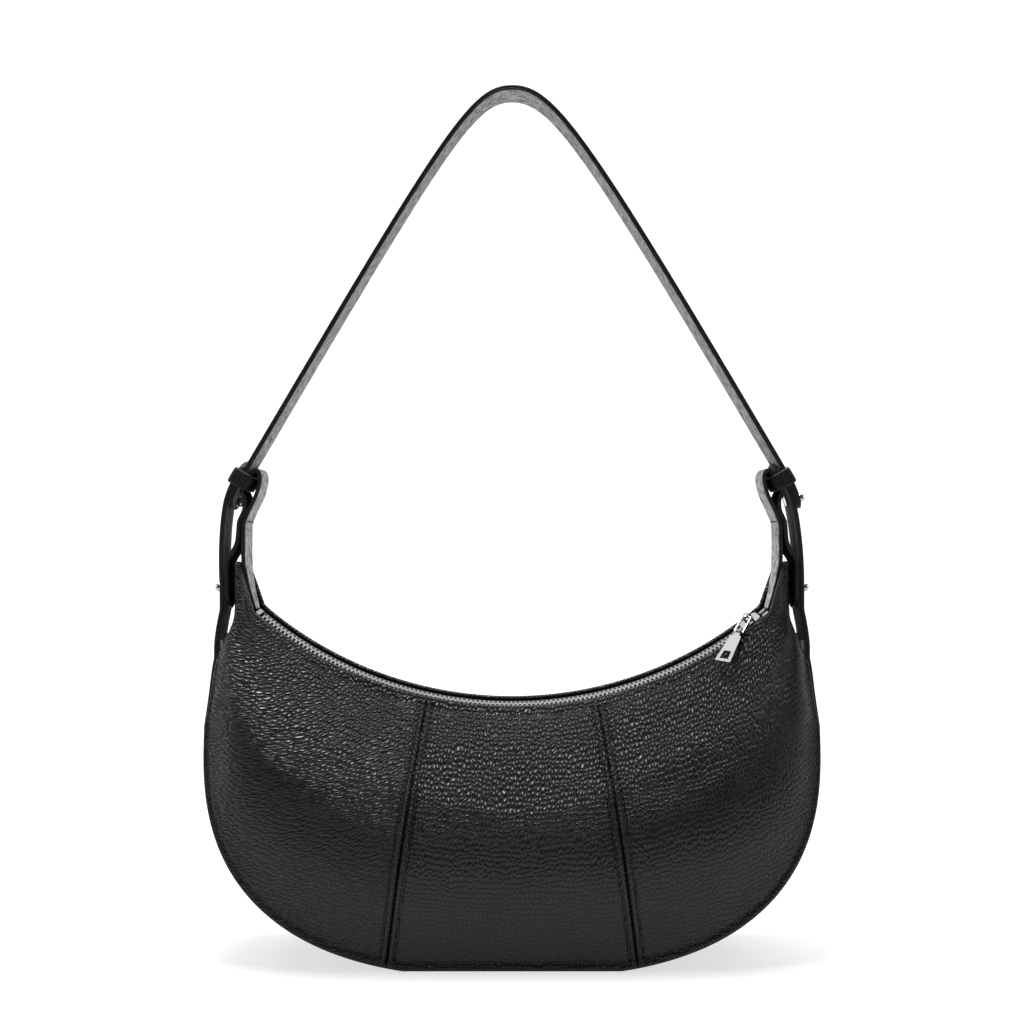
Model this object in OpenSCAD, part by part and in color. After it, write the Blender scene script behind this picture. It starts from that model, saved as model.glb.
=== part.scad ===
// Half moon shoulder bag: six leather panels on a curved gusset, a zip along
// the mouth, and a flat strap that is looped to the two horns of the bag.
// X runs along the bag, the front faces -Y, and the bag stands on z = 0.

/* [Body] */
// Half width of the bag at its widest place
body_half = 146; // [130:1:165]
// Height of the widest place above the base
wide_z = 110; // [95:1:120]
// Height of the horn tips
horn_z = 184.5; // [180:1:190]
// How far the outside of the gusset stands in at the horns, from the widest place
horn_in = 10; // [8:0.5:13]
// How far the soft bottom is pressed flat by its own weight
base_sag = 3; // [1:0.5:4]
// Depth from front to back at the base
base_depth = 62; // [50:1:70]
// Depth from front to back at the horns
horn_depth = 17; // [15:0.5:19]
// Depth from front to back at the belly
belly_depth = 90; // [78:1:100]
// Leather thickness of panels and gusset
leather = 1.5; // [1:0.1:1.8]
// Lining cloth thickness
lining = 0.6; // [0.4:0.1:0.8]
// Half the distance between the panel seams, at the mouth
seam_half = 41; // [30:1:55]
// Height of the slip pocket
pocket_h = 62; // [45:1:70]
// Length of the board in the base
board_len = 112; // [80:1:120]
// Thickness of the board in the base
board_t = 1.2; // [0.8:0.1:2]

/* [Zip] */
// Radius of the mouth's curve
zip_r = 192; // [188:1:200]
// Lowest point of the mouth above the base
mouth_z = 119; // [112:1:124]
// Distance from the zip's end to the outside of the gusset at the horn
zip_inset = 11.3; // [11:0.1:14]
// Tilt of the zip towards the front
zip_tilt = 18; // [10:1:22]
// Distance from tooth to tooth on one side
pitch = 2.2; // [2:0.1:2.6]
// Length of a tooth along the zip
tooth_len = 0.95; // [0.7:0.05:0.95]
// Reach of a tooth past the middle of the zip
tooth_nib = 0.9; // [0.6:0.1:1]
// Reach of a tooth back over its tape
tooth_back = 3.1; // [2.8:0.1:3.3]
// Height of the teeth
tooth_h = 2.2; // [1.8:0.1:2.4]
// Tape thickness
tape_t = 0.6; // [0.4:0.1:0.7]
// Half the gap between the two tapes
tape_gap = 2.1; // [1.9:0.1:2.3]
// Half the opening between the leather edges
lip_half = 5.6; // [5.3:0.1:6]
// Length of the slider
slider_len = 10; // [8:0.5:12]
// Width of the slider
slider_w = 9; // [8.6:0.1:9.4]
// Thickness of the slider's plates
plate_t = 1; // [0.8:0.1:1.2]
// Width of the wedge that parts the teeth
wedge_w = 2.6; // [2:0.1:3]

/* [Pull] */
// Length of the pull plate
pull_len = 21; // [16:0.5:26]
// Width of the pull plate at its free end
pull_w = 8; // [6.5:0.5:9]
// Width of the pull plate at the link
pull_neck = 5.6; // [5:0.1:6]
// Thickness of the pull plate
pull_t = 1.4; // [1:0.1:1.6]
// Diameter of the link's wire
wire = 1.1; // [0.9:0.1:1.2]
// Length of the link
link_len = 10; // [9:0.5:12]
// Angle of the hanging pull below level, seen from the front
pull_angle = 55; // [50:1:60]

/* [Strap] */
// Width of the strap and the side straps
strap_w = 20; // [16:0.5:21]
// Thickness of the outer leather of the strap
strap_skin = 1.3; // [1:0.1:1.5]
// Thickness of the suede lining of the strap
strap_suede = 1.1; // [0.8:0.1:1.2]
// Thickness of the side straps
side_t = 2.2; // [1.8:0.1:2.3]
// Thickness of the horn loops
loop_t = 2; // [1.6:0.1:2]
// Height of the strap's arch above the base
arch_z = 419; // [390:1:440]
// Angle of the strap's legs above level
leg_angle = 59.5; // [58:0.5:61]
// Height of the lower studs, about which the strap swings
stud_z = 177; // [175:0.5:178]
// Distance from the gusset's outside at the horn to the middle of the side strap
stud_out = 3.7; // [3.5:0.1:5]
// Height at which the keepers sit
keeper_z = 230; // [229:0.5:231]
// Height of a keeper along the strap
keeper_h = 8; // [6:0.5:8.5]
// Leather thickness of the keepers
keeper_t = 1.3; // [1:0.1:1.4]
// Height at which the side straps end on the gusset
side_end_z = 74; // [60:1:90]
// Diameter of the stud heads
ball_d = 5.6; // [4.8:0.1:5.8]
// Diameter of the stud posts
post_d = 3; // [2.4:0.1:3.2]

/* [Hidden] */

// Places that follow from the body's width
horn_x = body_half - horn_in;
stud_x = horn_x + stud_out;
zip_half_angle = asin((horn_x - zip_inset) / zip_r);

// Clearances and the overrun of cuts
lay = 0.15;
gap = 0.3;
run = 0.1;
over = 1;

// Smooth curve through chosen points
function spline(p, n) = concat([for (i = [0:len(p) - 2], k = [0:n - 1])
    let (t = k / n, a = p[max(i - 1, 0)], b = p[i], c = p[i + 1], d = p[min(i + 2, len(p) - 1)])
    (2 * b + (c - a) * t + (2 * a - 5 * b + 4 * c - d) * t * t
        + (3 * b - a - 3 * c + d) * t * t * t) / 2], [p[len(p) - 1]]);
function cubic(a, b, c, d, n) = [for (k = [0:n]) let (t = k / n)
    pow(1 - t, 3) * a + 3 * pow(1 - t, 2) * t * b + 3 * (1 - t) * t * t * c + pow(t, 3) * d];
function unit(v) = v / norm(v);
function flip(p) = [for (i = [len(p) - 1:-1:0]) p[i]];
function mirrored(p) = [for (q = p) [-q.x, q.y]];
// The path moved sideways by d, to the right of its run
function aside(p, d) = [for (i = [0:len(p) - 1])
    let (t = unit(p[min(i + 1, len(p) - 1)] - p[max(i - 1, 0)])) p[i] + d * [t.y, -t.x]];
function ribbon(p, d1, d2) = concat(aside(p, d1), flip(aside(p, d2)));
function run_lengths(p) = [for (i = 0, s = 0; i < len(p);
    s = s + (i + 1 < len(p) ? norm(p[i + 1] - p[i]) : 0), i = i + 1) s];
function place_on(s, p, run_list) = [
    lookup(s, [for (i = [0:len(p) - 1]) [run_list[i], p[i].x]]),
    lookup(s, [for (i = [0:len(p) - 1]) [run_list[i], p[i].y]])];

// A plate with its outline in X and Z, w thick along Y
module across(p, w) { translate([0, w / 2, 0]) rotate([90, 0, 0]) linear_extrude(w) polygon(p); }
// A plate with its outline in Y and Z, from x0 to x1
module sideways(p, x0, x1) {
    translate([x0, 0, 0]) rotate([90, 0, 90]) linear_extrude(x1 - x0) polygon(p);
}
module both_sides() { children(); mirror([1, 0, 0]) children(); }
module side(s) { if (s < 0) mirror([1, 0, 0]) children(); else children(); }

// Outline of the gusset's outer face, from the middle of the base up to the right horn
belly_power = 2.57;
body_b = wide_z + base_sag;
function body_point(a) = [body_half * pow(sin(a), 2 / belly_power),
    max(wide_z - body_b * pow(cos(a), 2 / belly_power), 0)];
flank_shares = [[0.8, 0.18], [0.56, 0.48], [0.2, 0.57], [0, 0.68], [-0.06, 0.8],
    [0, 0.9], [0, 1]];
function flank_point(s) = [horn_x + s.x * (body_half - horn_x), wide_z + s.y * (horn_z - wide_z)];
outline = concat([for (a = [0:3:87]) body_point(a)],
    spline(concat([[body_half, wide_z]], [for (s = flank_shares) flank_point(s)]), 3));
outline_run = run_lengths(outline);
outline_len = outline_run[len(outline_run) - 1];

// Half depth of the gusset at a height
function half_depth(z) = horn_depth / 2 + (base_depth - horn_depth) / 2
    * pow(0.5 + 0.5 * cos(180 * min(z / horn_z, 1)), 0.9);

// The mouth: an arc about an axis along Y, which the tilted zip follows
zip_c = mouth_z + zip_r;
// A place in the zip's section, q to the front and h out of the bag, as radius and front run
function section(q, h) = [zip_r + q * sin(zip_tilt) - h * cos(zip_tilt),
    q * cos(zip_tilt) + h * sin(zip_tilt)];
function at_mouth(a, q, h) = let (s = section(q, h))
    [s.x * sin(a), -s.y, zip_c - s.x * cos(a)];

// Panels: sheets between the mouth and the rim, u along the bag from -1 to 1
// and v from the mouth's edge, 0, to the rim, 1
mouth_share = 0.86;
rim_straight_share = 0.743;
seam_share = mouth_share * asin(seam_half / zip_r) / zip_half_angle;
horn_top_share = 0.96;
horn_top_x = horn_top_share * horn_x;
zip_end = [zip_r * sin(zip_half_angle), zip_c - zip_r * cos(zip_half_angle)];
function lip_y(u) = lip_half + max(0, abs(u) - mouth_share * 0.94) / (1 - mouth_share * 0.94)
    * (strap_w / 2 + gap - lip_half);
function mouth_xz(u, f) = let (m = abs(u), g = u < 0 ? -1 : 1,
        a = zip_half_angle * min(m / mouth_share, 1), s = section(f * lip_half, tape_t / 2 + leather + gap),
        e = max(0, m - mouth_share) / (1 - mouth_share),
        p = [s.x * sin(a), zip_c - s.x * cos(a)])
    [g * (p.x + e * (horn_top_x - p.x)), p.y + e * (horn_z - p.y)];
function rim_xz(u) = let (m = abs(u), g = u < 0 ? -1 : 1,
        p = place_on(outline_len * (rim_straight_share * m + (1 - rim_straight_share) * pow(m, 3)),
            outline, outline_run)) [g * p.x, p.y];
bulge = belly_depth / 2 - (lip_half + base_depth / 2) / 2;
function swell(u, v) = bulge * (1 - 0.96 * pow(abs(u), 2.6))
    * sin(180 * pow(v, 0.8)) * (1 - pow(v, 6));
// Depth of a panel's outer face, f is 1 on the front and -1 on the back
function depth(u, v) = let (w = half_depth(rim_xz(u).y) + lay + leather)
    lip_y(u) + (w - lip_y(u)) * v * v * (3 - 2 * v) + swell(u, v);
function skin(u, v, f) = let (p = mouth_xz(u, f) * (1 - v) + rim_xz(u) * v)
    [p.x, -f * depth(u, v), max(p.y, 0)];
function skin_in(u, v, f) = let (e = 0.01,
        a = skin(u + e, v, f) - skin(u - e, v, f),
        b = skin(u, min(v + e, 1), f) - skin(u, max(v - e, 0), f), n = unit(cross(a, b)))
    n.y * f > 0 ? n : -n;
// A place d inside the outer face; at the rim it goes straight in
function under(u, v, f, d) = let (k = pow(v, 8), n = skin_in(u, v, f) * (1 - k) + [0, f, 0] * k,
        p = skin(u, v, f) + d * unit(n)) [p.x, p.y, max(p.z, 0)];

// A closed sheet between depths d1 and d2 under the outer face
module sheet(u0, u1, v0, v1, nu, nv, d1, d2, f) {
    m = nv + 1;
    n = (nu + 1) * m;
    grid = [for (d = [d1, d2], i = [0:nu], j = [0:nv])
        under(u0 + (u1 - u0) * i / nu, v0 + (v1 - v0) * j / nv, f, d)];
    function quad(a, b, c, d) = [[a, b, c], [a, c, d]];
    faces = [
        for (i = [0:nu - 1], j = [0:nv - 1], t = quad(i * m + j, (i + 1) * m + j,
            (i + 1) * m + j + 1, i * m + j + 1)) t,
        for (i = [0:nu - 1], j = [0:nv - 1], t = quad(n + i * m + j, n + i * m + j + 1,
            n + (i + 1) * m + j + 1, n + (i + 1) * m + j)) t,
        for (i = [0:nu - 1], t = quad(i * m, n + i * m, n + (i + 1) * m, (i + 1) * m)) t,
        for (i = [0:nu - 1], t = quad(i * m + nv, (i + 1) * m + nv,
            n + (i + 1) * m + nv, n + i * m + nv)) t,
        for (j = [0:nv - 1], t = quad(j, j + 1, n + j + 1, n + j)) t,
        for (j = [0:nv - 1], t = quad(nu * m + j, n + nu * m + j,
            n + nu * m + j + 1, nu * m + j + 1)) t];
    polyhedron(grid, f > 0 ? faces : [for (t = faces) flip(t)]);
}
seam_cut = seam_share * lay / seam_half;
module centre_panel(f) {
    color("#1c1c1e") sheet(-seam_share + seam_cut, seam_share - seam_cut, 0, 1, 12, 14,
        0, leather, f);
}
module outer_panel(s, f) {
    u = s > 0 ? [seam_share + seam_cut, 1] : [-1, -seam_share - seam_cut];
    color("#202022") sheet(u[0], u[1], 0, 1, 16, 14, 0, leather, f);
}
module front_centre_panel() { centre_panel(1); }
module front_left_panel() { outer_panel(-1, 1); }
module front_right_panel() { outer_panel(1, 1); }
module back_centre_panel() { centre_panel(-1); }
module back_left_panel() { outer_panel(-1, -1); }
module back_right_panel() { outer_panel(1, -1); }

// Gusset: one strip of leather from horn to horn round the base
gusset_side = [for (k = [0:24]) let (z = horn_z * k / 24) [half_depth(z), z]];
module strip_sides(cut) {
    sideways(concat([[gusset_side[0].x - cut, -over]], [for (p = gusset_side) [p.x - cut, p.y]],
        [for (p = flip(gusset_side)) [cut - p.x, p.y]], [[cut - gusset_side[0].x, -over]]),
        -body_half - over, body_half + over);
}
function full_ribbon(p, d1, d2) = concat(flip(mirrored(aside(p, d1))), aside(p, d1),
    flip(aside(p, d2)), mirrored(aside(p, d2)));
module stud_hole(x0, x1, z, d) {
    translate([x0 - over, 0, z]) rotate([0, 90, 0]) cylinder(d = d, h = x1 - x0 + 2 * over);
}
module gusset() {
    color("#1a1a1b") difference() {
        intersection() {
            across([for (p = full_ribbon(outline, 0, -leather)) [p.x, max(p.y, 0)]], base_depth);
            strip_sides(0);
        }
        both_sides() stud_hole(horn_x - leather, horn_x, stud_z, post_d + 2 * run);
    }
}

// Lining: cloth that hangs inside the leather, with a pocket on its back sheet
lining_in = leather + 4 * gap;
lining_u_share = 0.9;
lining_v_shares = [0.14, 0.9];
module lining_cloth(f) {
    color("#3a3a3c") sheet(-lining_u_share, lining_u_share, lining_v_shares[0], lining_v_shares[1],
        20, 6, lining_in, lining_in + lining, f);
}
module lining_front() { lining_cloth(1); }
module lining_back() { lining_cloth(-1); }
module lining_gusset() {
    color("#3a3a3c") intersection() {
        across(full_ribbon(outline, -leather - lay, -leather - lay - lining), base_depth);
        strip_sides(leather);
        translate([-body_half, -base_depth, 0]) cube([2 * body_half, 2 * base_depth, wide_z]);
    }
}
board_depth_share = 0.8;
module base_board() {
    d = leather + lay + lining + gap;
    color("#8a7a62") intersection() {
        across(full_ribbon(outline, -d, -d - board_t), base_depth * board_depth_share);
        translate([-board_len / 2, -base_depth, 0]) cube([board_len, 2 * base_depth, wide_z / 4]);
    }
}
pocket_u_share = 0.2;
pocket_foot_share = 0.82;
module slip_pocket() {
    d = lining_in + lining + 4 * gap;
    color("#444446") sheet(-pocket_u_share, pocket_u_share, pocket_foot_share - pocket_h / mouth_z,
        pocket_foot_share, 8, 6, d, d + lining, -1);
}

// Zip: parts that run along the mouth are made in its section
module along_mouth(a0, a1, p) {
    translate([0, 0, zip_c]) rotate([90, 0, 0]) rotate([0, 0, 270 + a0])
        rotate_extrude(angle = a1 - a0, $fn = 180) polygon([for (s = p) section(s.x, s.y)]);
}
// Local frame on the zip: X along the zip to the right, Y to the back, Z out of the bag
module on_zip(a, h) {
    translate([0, 0, zip_c]) rotate([90, 0, 0]) rotate([0, 0, 270 + a])
        multmatrix([[0, -sin(zip_tilt), -cos(zip_tilt), zip_r], [1, 0, 0, 0],
            [0, -cos(zip_tilt), sin(zip_tilt), 0], [0, 0, 0, 1]])
        translate([0, 0, h]) children();
}
tape_flat_share = 0.93;
tape_flat = tape_flat_share * lip_half;
// The tapes turn down inside the leather, this steeply below level
tape_fall = 78;
tape_drop_share = 1.25;
tape_drop = tape_drop_share * lip_half;
function bent_tape(f, q0, h0, t) = let (fall = tape_fall - f * zip_tilt, c = cos(fall), s = sin(fall))
    [[f * q0, h0], [f * q0, h0 - t], [f * (tape_flat - t / 2), h0 - t],
    [f * (tape_flat - t / 2 + tape_drop * c), h0 - t - tape_drop * s],
    [f * (tape_flat + t / 2 + tape_drop * c), h0 - t - tape_drop * s + t * c],
    [f * (tape_flat + t / 4), h0]];
// Angle between the closed slider and the zip's end
slider_rest = 2.9;
slider_a = zip_half_angle - slider_rest;
module tape(f) {
    color("#151516") along_mouth(-zip_half_angle, zip_half_angle,
        bent_tape(f, tape_gap, tape_t / 2, tape_t));
}
module zip_tape_front() { tape(1); }
module zip_tape_back() { tape(-1); }

// A tooth clamps the edge of its tape and reaches past the middle with a rounded nib
tooth_shares = [[-1, 0.15], [-0.75, 0.5], [0.2, 0.5], [1, 0.42]];
function tooth_x(s) = s < 0 ? -s * -tooth_nib : s * tooth_back;
function tooth_shape(slot) = concat([for (p = tooth_shares) [tooth_x(p.x), p.y * tooth_h]],
    [[tooth_back, slot], [tape_gap - 2 * run, slot], [tape_gap - 2 * run, -slot], [tooth_back, -slot]],
    flip([for (p = tooth_shares) [tooth_x(p.x), -p.y * tooth_h]]));
pitch_a = pitch / zip_r * 180 / PI;
throat_share = 0.1;
throat_a = slider_a - throat_share * slider_len / zip_r * 180 / PI;
first_a = -zip_half_angle + 2 * pitch_a;
tooth_count = floor((throat_a - first_a) / pitch_a);
module teeth(f) {
    slot = tape_t / 2 + run;
    color("#c9c9cc") for (i = [0:tooth_count - 1])
        on_zip(first_a + pitch_a * (i + (f > 0 ? 0 : 0.5)), 0)
            translate([tooth_len / 2, 0, 0]) rotate([90, 0, -90]) linear_extrude(tooth_len)
                polygon([for (p = tooth_shape(slot)) [f * p.x, p.y]]);
}
module zip_teeth_front() { teeth(1); }
module zip_teeth_back() { teeth(-1); }
module zip_bottom_stop() {
    color("#c9c9cc") on_zip(-zip_half_angle + 0.6 * pitch_a, 0) difference() {
        translate([-pitch / 2, -tooth_back, -tooth_h / 2]) cube([pitch, 2 * tooth_back, tooth_h]);
        for (s = [-1, 1]) translate([-pitch, s * (tape_gap - 2 * run) - (s < 0 ? tooth_back : 0),
            -tape_t / 2 - run]) cube([2 * pitch, tooth_back, tape_t + 2 * run]);
    }
}
stop_a = slider_a + (slider_len / 2 + gap + pitch) / zip_r * 180 / PI;
module zip_top_stops() {
    color("#c9c9cc") for (s = [-1, 1]) on_zip(stop_a, 0) difference() {
        translate([-pitch / 2, s > 0 ? tape_gap / 2 : -tooth_back, -tooth_h / 2])
            cube([1.5 * pitch, tooth_back - tape_gap / 2, tooth_h]);
        translate([-pitch, s * (tape_gap - 2 * run) - (s < 0 ? tooth_back : 0),
            -tape_t / 2 - run]) cube([3 * pitch, tooth_back, tape_t + 2 * run]);
    }
}

// Slider: two plates joined by a wedge, with flanges at the sides and an eye on top
inside_h = tooth_h / 2 + gap;
flange_w = slider_w / 2 - tooth_back - gap;
eye_z = inside_h + plate_t + 1.9 * wire + gap;
eye_r = 2 * wire;
eye_hole_r = 1.35 * wire;
eye_t = 0.8 * wire;
slider_shares = [[-0.5, 0.36], [-0.39, 0.42], [0, 0.44], [0.3, 0.5], [0.5, 0.4]];
wedge_share = 0.12;
module plate_outline(w) {
    polygon(concat([for (p = slider_shares) [p.x * slider_len, -p.y * w]],
        flip([for (p = slider_shares) [p.x * slider_len, p.y * w]])));
}
module zip_slider() {
    color("#d0d0d3") on_zip(slider_a, 0) difference() {
        union() {
            for (s = [-1, 1]) translate([0, 0, s > 0 ? inside_h : -inside_h - plate_t])
                linear_extrude(plate_t) plate_outline(slider_w);
            translate([0, 0, -inside_h]) linear_extrude(2 * inside_h)
                polygon([[slider_len * wedge_share, 0], [slider_len / 2, wedge_w / 2],
                    [slider_len / 2, -wedge_w / 2]]);
            for (s = [-1, 1]) translate([0, 0, -inside_h - plate_t]) intersection() {
                linear_extrude(2 * (inside_h + plate_t)) plate_outline(slider_w);
                translate([-slider_len, s > 0 ? slider_w / 2 - flange_w : -slider_w / 2, 0])
                    cube([2 * slider_len, flange_w, 2 * (inside_h + plate_t)]);
            }
            translate([0, eye_t / 2, 0]) rotate([90, 0, 0]) linear_extrude(eye_t) {
                translate([0, eye_z]) circle(eye_r, $fn = 32);
                translate([-eye_r, inside_h + plate_t / 2])
                    square([2 * eye_r, eye_z - inside_h - plate_t / 2]);
            }
        }
        translate([0, over + slider_w, eye_z]) rotate([90, 0, 0])
            cylinder(r = eye_hole_r, h = 2 * (over + slider_w), $fn = 32);
        // The tapes run through slots in the flanges
        for (s = [-1, 1]) translate([-slider_len, s > 0 ? tooth_back : -slider_w, -tape_t / 2 - gap])
            cube([2 * slider_len, slider_w - tooth_back, tape_t + 2 * gap]);
    }
}

// Link and pull hang from the eye and lie along the front panel
pull_u_share = 0.55;
pull_v_share = 0.01;
pull_up = -skin_in(pull_u_share, pull_v_share, 1);
pull_at = at_mouth(slider_a, 0, eye_z);
pull_fall = [-cos(pull_angle), 0, -sin(pull_angle)];
pull_x = unit(pull_fall - [0, pull_fall * pull_up / pull_up.y, 0]);
pull_y = cross(pull_up, pull_x);
// Local frame of the pull: X down the pull, Z away from the panel
module on_pull() {
    multmatrix([[pull_x.x, pull_y.x, pull_up.x, pull_at.x], [pull_x.y, pull_y.y, pull_up.y, pull_at.y],
        [pull_x.z, pull_y.z, pull_up.z, pull_at.z], [0, 0, 0, 1]]) children();
}
link_half = pull_neck / 2 - wire / 2;
module rod(a, b, d) {
    v = b - a;
    translate(a) rotate([0, acos(v.z / norm(v)), atan2(v.y, v.x)]) cylinder(d = d, h = norm(v), $fn = 24);
}
module pull_link() {
    color("#d0d0d3") on_pull() union() {
        for (s = [-1, 1]) {
            rod([0, s * link_half, 0], [link_len, s * link_half, 0], wire);
            for (x = [0, link_len]) translate([x, s * link_half, 0]) sphere(d = wire, $fn = 24);
        }
        for (x = [0, link_len]) rod([x, -link_half, 0], [x, link_half, 0], wire);
    }
}
// The window near the pull's free end, in shares of the plate's width
window_shares = [[0.82, 0.22], [0.2, 0.28]];
module pull_plate() {
    knuckle = wire / 2 + run;
    inner = link_half - wire / 2 - gap;
    tip = link_len + pull_len - knuckle - pull_t / 2;
    neck = link_len + 2.4 * wire;
    shoulder = link_len + 3 * wire;
    color("#d6d6d9") on_pull() difference() {
        union() {
            translate([0, 0, -pull_t / 2]) linear_extrude(pull_t) polygon([
                [link_len, -inner], [neck, -inner], [shoulder, -pull_neck / 2],
                [tip, -pull_w / 2], [tip, pull_w / 2],
                [shoulder, pull_neck / 2], [neck, inner], [link_len, inner]]);
            translate([link_len, inner, 0]) rotate([90, 0, 0])
                cylinder(r = knuckle + pull_t / 2, h = 2 * inner, $fn = 32);
        }
        translate([link_len, inner + over, 0]) rotate([90, 0, 0])
            cylinder(r = knuckle, h = 2 * (inner + over), $fn = 32);
        translate([tip, 0, -pull_t]) linear_extrude(2 * pull_t) polygon(concat(
            [for (p = window_shares) pull_w * [-p.x, -p.y]],
            flip([for (p = window_shares) pull_w * [-p.x, p.y]])));
    }
}

// Strap: the line between its end and the side strap, up the right side from the stud
rise = keeper_z - stud_z;
function from_stud(s) = [stud_x + s.x * rise, stud_z + s.y * rise];
lap_shares = [[0, 0], [0.002, 0.17], [-0.006, 0.396], [-0.028, 0.623], [-0.062, 0.802],
    [-0.113, 0.936], [-0.151, 1], [-0.189, 1.064], [-0.232, 1.138]];
lap_line = spline([for (s = lap_shares) from_stud(s)], 4);
strap_t = strap_skin + strap_suede;
hold_share = 0.78;
upper_i = 16;
upper_at = lap_line[upper_i];
upper_out = let (t = unit(lap_line[upper_i + 1] - lap_line[upper_i - 1])) [t.y, -t.x];
// A line beside the lap line; it starts on the stud and is fully aside at the hold share
function beside(d) = let (full = aside(lap_line, d)) [for (i = [0:len(lap_line) - 1])
    let (k = min(1, (lap_line[i].y - stud_z) / (hold_share * rise)))
    lap_line[i] * (1 - k) + full[i] * k];
leg_share = 1.04;
arch_flat_share = 0.15;
keeper_at = from_stud(lap_shares[6]);
// 1 where the side strap lies outside the strap's end, -1 where it lies inside
function lap_of(s) = s < 0 ? 1 : -1;
function half_strap(s) = let (d = -lap_of(s) * (strap_t + run) / 2,
        low = [for (i = [11:len(lap_line) - 1]) aside(lap_line, d)[i]],
        a = low[len(low) - 1], top = [0, arch_z - strap_t / 2], h = leg_share * (top.y - a.y))
    concat(low, [for (q = cubic(a, a + h * [-cos(leg_angle), sin(leg_angle)],
        top + [arch_flat_share * a.x, 0], top, 28)) if (q != a && q != top) q]);
strap_line = concat(half_strap(1), [[0, arch_z - strap_t / 2]], flip(mirrored(half_strap(-1))));
tongue_z = upper_at.y - strap_w / 4;
function arc_end(z, r, depth) = [for (a = [-90:10:90]) [r * sin(a), z + depth - depth * cos(a)]];
module strap_layer(d1, d2) {
    difference() {
        intersection() {
            across(ribbon(strap_line, d1, d2), strap_w);
            sideways(concat(arc_end(tongue_z, strap_w / 2, strap_w / 4),
                [[strap_w / 2, arch_z + over], [-strap_w / 2, arch_z + over]]),
                -body_half, body_half);
        }
        for (s = [-1, 1]) side(s) upper_hole(post_d + 2 * run);
        side(-1) spare_hole();
    }
}
module along_out(at, dir, d, h0, h1) {
    translate([at.x + dir.x * h0, 0, at.y + dir.y * h0]) rotate([0, 90 - atan2(dir.y, dir.x), 0])
        cylinder(d = d, h = h1 - h0, $fn = 32);
}
module upper_hole(d) { along_out(upper_at, upper_out, d, -2 * strap_t, 2 * strap_t); }
// A second hole up the strap's end, to lengthen the strap
hole_step = 1.15 * strap_w;
module spare_hole() {
    d = [cos(leg_angle), -sin(leg_angle)];
    along_out(keeper_at - hole_step * d, [-d.y, d.x], post_d,
        -2 * strap_t, 2 * strap_t);
}
module shoulder_strap() { color("#2b2b2d") strap_layer(strap_t / 2, strap_t / 2 - strap_skin); }
module strap_lining() { color("#8d8d8f") strap_layer(strap_t / 2 - strap_skin, -strap_t / 2); }

// Risers: the side straps' upper part, from the lower stud up through the keeper
tail = 0.55 * strap_w;
module strap_riser(s) {
    color("#2b2b2d") side(s) difference() {
        intersection() {
            across(let (p = beside(lap_of(s) * (side_t + run) / 2), q = concat(
                [p[0] - [0, tail]], p)) ribbon(q, side_t / 2, -side_t / 2), strap_w);
            sideways(concat(arc_end(stud_z - strap_w / 2, strap_w / 2, strap_w / 2),
                [[strap_w / 2, arch_z], [-strap_w / 2, arch_z]]), 0, body_half + 2 * side_t);
        }
        stud_hole(stud_x - side_t, stud_x + side_t, stud_z, post_d + 2 * run);
        upper_hole(post_d + 2 * run);
    }
}
module left_strap_riser() { strap_riser(-1); }
module right_strap_riser() { strap_riser(1); }

// Side straps: sewn to the gusset, free for a short way below the lower stud
side_top_z = stud_z - strap_w / 2 - gap - run;
lap_top_z = flank_point(flank_shares[1]).y - lay - side_t;
// Where the free part's bend begins, pulls outwards and turns level with the stud
side_shares = [0.1, 0.55, 0.8];
side_line = let (lap = [for (p = aside(outline, lay + side_t / 2))
        if (p.y >= side_end_z && p.y <= lap_top_z) p], a = lap[len(lap) - 1])
    concat(lap, let (h = side_top_z - a.y) cubic(a + [0, side_shares[0] * h],
        a + [0, side_shares[1] * h], [stud_x, a.y + side_shares[2] * h], [stud_x, side_top_z], 6));
module side_strap(s) {
    color("#262628") side(s) intersection() {
        across(ribbon(side_line, side_t / 2, -side_t / 2), strap_w);
        sideways(concat(arc_end(side_line[0].y - over / 4, strap_w / 2, strap_w / 2),
            [[strap_w / 2, side_top_z], [-strap_w / 2, side_top_z]]), 0, body_half + 2 * side_t);
    }
}
module left_side_strap() { side_strap(-1); }
module right_side_strap() { side_strap(1); }

// Horn loops: a strip from the lower stud, through the keeper, over the top and down inside
loop_x0 = stud_x - side_t / 2 - gap - loop_t / 2;
// Up to this share of the rise the loop stays outside the horn, so that it can swing
loop_leave_share = 0.24;
loop_shares = [[-0.1, 0.33], [-0.138, 0.42], [-0.15, 0.54], [-0.158, 0.604], [-0.183, 0.66],
    [-0.204, 0.717], [-0.206, 0.802], [-0.176, 0.902], [-0.254, 1.022], [-0.277, 1.054],
    [-0.306, 1.07], [-0.334, 1.05], [-0.346, 1.004], [-0.34, 0.943], [-0.317, 0.858],
    [-0.281, 0.774], [-0.247, 0.708], [-0.228, 0.66], [-0.204, 0.604], [-0.195, 0.551]];
loop_line = concat([[loop_x0, stud_z - tail], [loop_x0, stud_z]],
    spline(concat([[loop_x0, stud_z + loop_leave_share * rise / 2],
        [loop_x0 - lay, stud_z + loop_leave_share * rise]], [for (s = loop_shares) from_stud(s)]), 3));
module horn_loop(s) {
    color("#242426") side(s) difference() {
        intersection() {
            across(ribbon(loop_line, loop_t / 2, -loop_t / 2), strap_w);
            sideways(concat(arc_end(stud_z - strap_w / 2, strap_w / 2, strap_w / 2),
                [[strap_w / 2, arch_z], [-strap_w / 2, arch_z]]), 0, body_half);
        }
        stud_hole(loop_x0 - loop_t, loop_x0 + loop_t, stud_z, post_d + 2 * run);
    }
}
module left_horn_loop() { horn_loop(-1); }
module right_horn_loop() { horn_loop(1); }

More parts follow.
